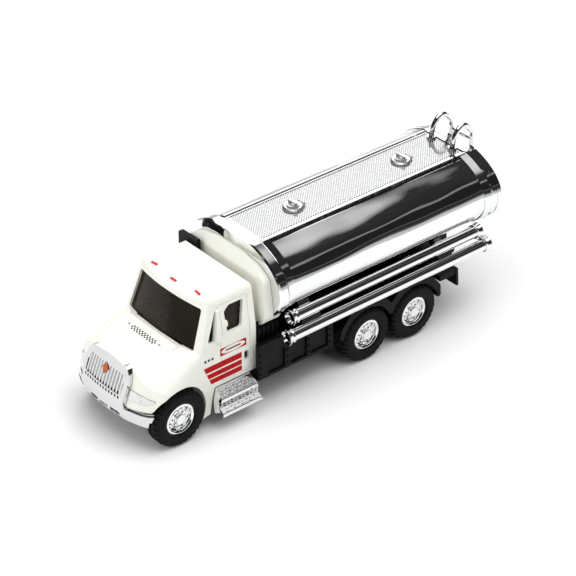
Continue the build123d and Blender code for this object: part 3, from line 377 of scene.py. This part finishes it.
def tinted_window():
    """Smoky clear plastic."""
    g = Graph("tinted_window")
    streak = g.noise(90.0, 2.0)
    g.link(g.mix(g.span(streak, 0.3, 0.7, 0.0, 1.0), rgb(0.012, 0.009, 0.005),
                 rgb(0.022, 0.016, 0.009)), g.shader.inputs["Base Color"])
    g.link(g.span(g.noise(400.0), 0.3, 0.7, 0.05, 0.10), g.shader.inputs["Roughness"])
    g.shader.inputs["Alpha"].default_value = 0.72
    g.shader.inputs["Specular IOR Level"].default_value = 0.22
    g.link(g.bump(g.noise(110.0, 1.0), 0.00008, 0.4), g.shader.inputs["Normal"])
    return g.material


SEAT_Z = (24.0, 41.0)
SEAT_EDGE = 1.0


def cab_interior():
    """Dark moulding, dull red over the height of the seats."""
    g = Graph("cab_interior")
    seat = g.inside(g.z, SEAT_Z[0] * MM, SEAT_Z[1] * MM, SEAT_EDGE * MM)
    worn = g.mix(g.span(g.noise(150.0), 0.3, 0.7, 0.0, 1.0), rgb(0.016, 0.013, 0.012),
                 rgb(0.030, 0.022, 0.020))
    seat_red = rgb(0.16, 0.010, 0.010)
    g.link(g.mix(g.math("MULTIPLY", seat, 0.8), worn, seat_red), g.shader.inputs["Base Color"])
    g.link(g.span(g.noise(500.0), 0.3, 0.7, 0.4, 0.6), g.shader.inputs["Roughness"])
    g.link(g.bump(g.noise(2200.0), 0.00004, 0.5), g.shader.inputs["Normal"])
    return g.material


def gloss_colour(name, dark_colour, light_colour):
    """Glossy printed or moulded colour, mottled between two tones."""
    g = Graph(name)
    g.link(g.mix(g.span(g.noise(700.0), 0.3, 0.7, 0.0, 1.0), dark_colour, light_colour),
           g.shader.inputs["Base Color"])
    g.link(g.span(g.noise(900.0), 0.3, 0.7, 0.15, 0.28), g.shader.inputs["Roughness"])
    g.link(g.bump(g.noise(1500.0), 0.00002, 0.5), g.shader.inputs["Normal"])
    return g.material


def drawn_steel():
    """Bright steel wire with drawing lines along the axle."""
    g = Graph("drawn_steel")
    g.shader.inputs["Metallic"].default_value = 1.0
    line = g.noise(900.0, 2.0, 0.5, stretch=(1.0, 0.05, 1.0))
    g.link(g.mix(line, rgb(0.42, 0.42, 0.43), rgb(0.60, 0.60, 0.61)), g.shader.inputs["Base Color"])
    g.link(g.span(line, 0.3, 0.7, 0.22, 0.38), g.shader.inputs["Roughness"])
    return g.material


def give(material, names):
    """Put one material on the whole of each named node."""
    for name in names:
        mesh = nodes[name].data
        mesh.materials.clear()
        mesh.materials.append(material)
        for polygon in mesh.polygons:
            polygon.material_index = 0


def dress_cad_nodes(rubber):
    slots = {row["node"]: row["material_slot"] for row in frame["record"]["subparts"]}
    by_slot = {}
    for name, slot in slots.items():
        by_slot.setdefault(slot, []).append(name)
    cream, _, _ = cream_paint()
    give(cream.material, by_slot["cream_paint"])
    give(cab_paint(), ["cab_shell"])
    give(plated(), by_slot["plated_plastic"])
    give(plated("plated_barrel", 3.0, (0.20, 0.7, 0.7)),
         ["tank_shell", "tank_front_ring", "tank_rear_cap"])
    # The front insert gets the same plating darkened to 0.8 as painted shade on its forward-facing
    # grille, lamps and bumper.
    give(plated("plated_front_painted_shade", 0.22, painted_shade_factor=0.80), ["front_insert"])
    give(plated("plated_lid", roughness=(0.34, 0.42)), ["hatch_lid_front", "hatch_lid_rear"])
    give(plated_tread(), ["walkway_plate"])
    give(black_plastic(), by_slot["black_plastic"])
    give(rubber, by_slot["tyre_rubber"])
    give(tinted_window(), by_slot["tinted_window"])
    give(cab_interior(), by_slot["cab_interior"])
    give(gloss_colour("red_lamp", rgb(0.55, 0.01, 0.012), rgb(0.72, 0.02, 0.02)),
         by_slot["red_lamp"])
    give(gloss_colour("badge", rgb(0.30, 0.045, 0.008), rgb(0.48, 0.13, 0.02)),
         by_slot["badge_plastic"])
    give(drawn_steel(), by_slot["steel"])


# ---------------------------------------------------------------- tyres
RIM_R = 6.7
TYRE_R = 12.0
AXLE_Z = 12.0
LUG_COUNT = 30
# (part of a lug pitch, whether the groove is cut there)
LUG_STEPS = ((0.00, 1), (0.24, 1), (0.32, 0), (0.63, 0), (0.92, 0))
# (radius, depth in from the outer face, groove depth between lugs)
SHOULDER = (
    (RIM_R, 0.62, 0.0), (6.95, 0.18, 0.0), (7.5, 0.06, 0.0), (8.6, 0.04, 0.0), (8.72, 0.16, 0.0),
    (9.9, 0.18, 0.0), (10.02, 0.07, 0.0), (10.35, 0.10, 0.05), (10.9, 0.34, 0.30),
    (11.45, 0.72, 0.45), (11.82, 1.20, 0.50), (TYRE_R, 1.75, 0.50), (TYRE_R, 2.9, 0.45),
    (11.6, 2.95, 0.0),
)
SHARP_ANGLE = math.radians(32.0)
# inner and outer face of each axle's tyres, and the axle's place along the truck
TYRE_FACES = {"front": (18.3, 25.8), "mid": (20.2, 28.7), "rear": (20.2, 28.7)}
AXLE_X = {"front": 64.6, "mid": -26.8, "rear": -52.4}


def tyre_mesh(name, x, faces_out, faces_in):
    """Moulded tyre with shoulder lugs, sidewall rings and a centre groove."""
    width = abs(faces_out - faces_in)
    inward = 1 if faces_in > faces_out else -1
    far = [(radius, width - depth, groove) for radius, depth, groove in reversed(SHOULDER)]
    profile = list(SHOULDER) + far
    build = bmesh.new()
    rings = []
    for lug in range(LUG_COUNT):
        for part, cut in LUG_STEPS:
            ring = []
            for index, (radius, depth, groove) in enumerate(profile):
                stagger = 0.5 if index >= len(SHOULDER) else 0.0
                angle = 2 * math.pi * (lug + part + stagger) / LUG_COUNT
                reach = (radius - groove * cut) * MM
                ring.append(build.verts.new((
                    x + reach * math.cos(angle), (faces_out + inward * depth) * MM,
                    AXLE_Z * MM + reach * math.sin(angle))))
            rings.append(ring)
    for first, second in zip(rings, rings[1:] + rings[:1]):
        for index in range(len(profile)):
            after = (index + 1) % len(profile)
            build.faces.new((first[index], first[after], second[after], second[index]))
    bmesh.ops.recalc_face_normals(build, faces=build.faces)
    mesh = bpy.data.meshes.new(name)
    build.to_mesh(mesh)
    build.free()
    mesh.shade_smooth()
    mesh.set_sharp_from_angle(angle=SHARP_ANGLE)
    return mesh


def make_tyres(rubber):
    """A treaded tyre in place of each plain one, turning with its wheelset."""
    for key, (inner, outer) in TYRE_FACES.items():
        for side, sign in (("left", 1), ("right", -1)):
            name = f"{key}_tyre_{side}"
            mesh = tyre_mesh(f"treaded_{name}", along(AXLE_X[key]), sign * outer, sign * inner)
            mesh.materials.append(rubber)
            piece = bpy.data.objects.new(f"treaded_{name}", mesh)
            scene.collection.objects.link(piece)
            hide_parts(name)
            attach(piece, f"{key}_wheelset")


# ---------------------------------------------------------------- floor and light
FLOOR_RADIUS = 0.95
FLOOR_PLACE = (-0.05, -0.05, -0.00005)
# (height of the direction looked in, brightness)
DOME_STOPS = (
    (0.0, 0.60), (0.08, 0.50), (0.14, 0.05), (0.28, 0.015), (0.31, 0.14), (0.33, 0.015),
    (0.58, 0.015), (0.61, 0.30), (0.64, 0.02), (0.785, 0.03), (0.825, 0.55), (0.90, 1.0),
    (1.0, 1.1),
)
AIM = (0.0, 0.0, 0.03)


def make_floor():
    mesh = bpy.data.meshes.new("floor")
    build = bmesh.new()
    bmesh.ops.create_circle(build, cap_ends=True, radius=FLOOR_RADIUS, segments=96)
    build.to_mesh(mesh)
    build.free()
    floor = bpy.data.objects.new("floor", mesh)
    scene.collection.objects.link(floor)
    floor.location = FLOOR_PLACE
    g = Graph("floor")
    g.link(g.mix(g.span(g.noise(6.0), 0.3, 0.7, 0.0, 1.0), rgb(0.90, 0.90, 0.90),
                 rgb(0.92, 0.92, 0.92)), g.shader.inputs["Base Color"])
    g.shader.inputs["Roughness"].default_value = 0.8
    mesh.materials.append(g.material)


def make_world():
    """Pale overhead dome over a dark surround with thin lit gaps, as in a half-open light tent."""
    world = bpy.data.worlds.new("studio")
    scene.world = world
    world.use_nodes = True
    tree = world.node_tree
    direction = tree.nodes.new("ShaderNodeTexCoord")
    split = tree.nodes.new("ShaderNodeSeparateXYZ")
    ramp = tree.nodes.new("ShaderNodeValToRGB")
    tree.links.new(direction.outputs["Generated"], split.inputs[0])
    tree.links.new(split.outputs["Z"], ramp.inputs[0])
    elements = ramp.color_ramp.elements
    while len(elements) < len(DOME_STOPS):
        elements.new(0.5)
    for element, (height, level) in zip(elements, DOME_STOPS):
        element.position = height
        element.color = rgb(level, level, level)
    background = tree.nodes["Background"]
    tree.links.new(ramp.outputs[0], background.inputs["Color"])
    background.inputs["Strength"].default_value = 1.0


def softbox(name, place, target, size, power, glossy=True):
    """Rectangular lamp aimed at a point; it isn't mirrored in the plating unless glossy."""
    data = bpy.data.lights.new(name, "AREA")
    data.shape = "RECTANGLE"
    data.size, data.size_y = size
    data.energy = power
    lamp = bpy.data.objects.new(name, data)
    scene.collection.objects.link(lamp)
    lamp.location = place
    lamp.rotation_mode = "QUATERNION"
    lamp.rotation_quaternion = (Vector(target) - Vector(place)).to_track_quat("-Z", "Y")
    lamp.visible_glossy = glossy


def make_lights():
    softbox("key", (-0.35, 0.75, 1.05), AIM, (1.3, 1.3), 9.0, glossy=False)
    softbox("top", (0.0, 0.0, 1.2), (0.0, 0.0, 0.0), (1.2, 1.2), 6.0)
    softbox("back", (-0.80, -0.95, 0.80), AIM, (1.3, 0.9), 5.2)
    softbox("front", (1.1, -0.15, 0.60), (0.05, 0.0, 0.03), (1.1, 1.1), 7.5, glossy=False)


# ---------------------------------------------------------------- build
make_camera()
make_world()
make_lights()
make_floor()
rubber = tyre_rubber()
dress_cad_nodes(rubber)
make_tyres(rubber)
scene.view_settings.view_transform = "Standard"
scene.view_settings.look = "None"
